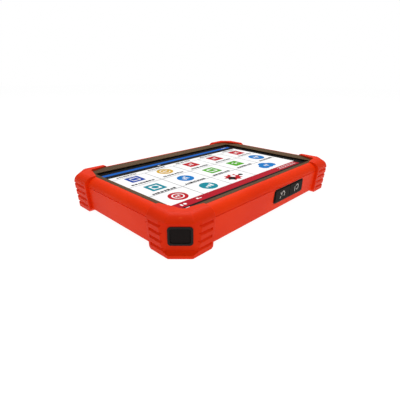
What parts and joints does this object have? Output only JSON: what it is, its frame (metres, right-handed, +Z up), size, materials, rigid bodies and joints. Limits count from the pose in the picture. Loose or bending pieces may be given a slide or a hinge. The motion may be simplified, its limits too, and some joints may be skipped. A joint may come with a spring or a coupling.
{
  "type": "rugged tablet data collector",
  "caption": "Rugged rectangular handheld data collector with a large touch screen, sloped bezel, ribbed rubber corner bumpers, side keys and a hinged port cover.",
  "frame": {"origin": "centre of the footprint, on the plane of the corner bumpers' feet", "axes": "+Z up out of the screen, +X along the long side, -Y towards the side with the two keys"},
  "size_m": [0.2166, 0.1468, 0.0308],
  "materials": {
    "antenna_gold": "plated",
    "battery_wrap": "film wrap",
    "bezel_plastic": "fine matt grain",
    "board_green": "solder mask",
    "bumper_rubber": "soft-touch satin",
    "camera_black": "matt",
    "case_rubber": "soft-touch satin",
    "chassis_alloy": "cast, matt",
    "cover_rubber": "satin",
    "display_face": "lit menu page",
    "flash_clear": "frosted",
    "flex_film": "polyimide",
    "foam_black": "closed-cell foam",
    "insert_rubber": "matt",
    "insert_trim": "satin",
    "key_black": "satin",
    "key_trim": "matt",
    "lead_plastic": "insulated leads",
    "light_guide": "diffuse",
    "mesh_steel": "black mesh",
    "mic_body": "can",
    "pin_steel": "drawn wire",
    "plunger_plastic": "moulded",
    "port_plastic": "matt",
    "port_steel": "nickel plated",
    "rear_plastic": "fine texture",
    "screen_glass": "polished",
    "screw_black": "black oxide",
    "screw_steel": "zinc",
    "shield_tin": "tinned",
    "speaker_plastic": "matt",
    "switch_body": "moulded",
    "tongue_plastic": "moulded",
    "tray_steel": "pressed",
    "window_glass": "polished"
  },
  "bodies": {
    "case": {"antenna": "antenna_gold", "backlight": "light_guide", "battery_foam": "foam_black", "battery_lead": "lead_plastic", "battery_pack": "battery_wrap", "board_screws": "screw_steel", "bumper_back_left": "bumper_rubber", "bumper_back_right": "bumper_rubber", "bumper_front_left": "bumper_rubber", "bumper_front_right": "bumper_rubber", "camera_window": "window_glass", "case_screws": "screw_black", "cover_pin": "pin_steel", "display_panel": "display_face", "display_tray": "tray_steel", "flash_lens": "flash_clear", "front_bezel": "bezel_plastic", "glass_gasket": "foam_black", "insert_frame": "insert_trim", "insert_pad": "insert_rubber", "key_board": "board_green", "key_flex": "flex_film", "key_gasket": "foam_black", "key_surround": "key_trim", "lock_switch": "switch_body", "main_board": "board_green", "microphone": "mic_body", "mid_chassis": "chassis_alloy", "port_block": "port_plastic", "power_switch": "switch_body", "processor_shield": "shield_tin", "radio_shield": "shield_tin", "rear_camera": "camera_black", "rear_cover": "rear_plastic", "side_frame": "case_rubber", "speaker": "speaker_plastic", "speaker_mesh": "mesh_steel", "touch_glass": "screen_glass", "usb_a_shell": "port_steel", "usb_a_tongue": "tongue_plastic", "usb_c_shell": "port_steel", "usb_c_tongue": "tongue_plastic"},
    "power_key": {"power_key": "key_black", "power_plunger": "plunger_plastic"},
    "lock_key": {"lock_key": "key_black", "lock_plunger": "plunger_plastic"},
    "port_cover": {"port_cover": "cover_rubber"}
  },
  "joints": [
    {"name": "power_key_press", "type": "slide", "parent": "case", "child": "power_key", "axis": [0, 1, 0], "range_m": [0, 0.0006], "stiffness_N_per_m": 2000},
    {"name": "lock_key_press", "type": "slide", "parent": "case", "child": "lock_key", "axis": [0, 1, 0], "range_m": [0, 0.0006], "stiffness_N_per_m": 2000},
    {"name": "port_cover_swing", "type": "hinge", "parent": "case", "child": "port_cover", "pos_m": [-0.042, 0.0684, 0.00925], "axis": [-1, 0, 0], "range_deg": [0, 90]}
  ]
}
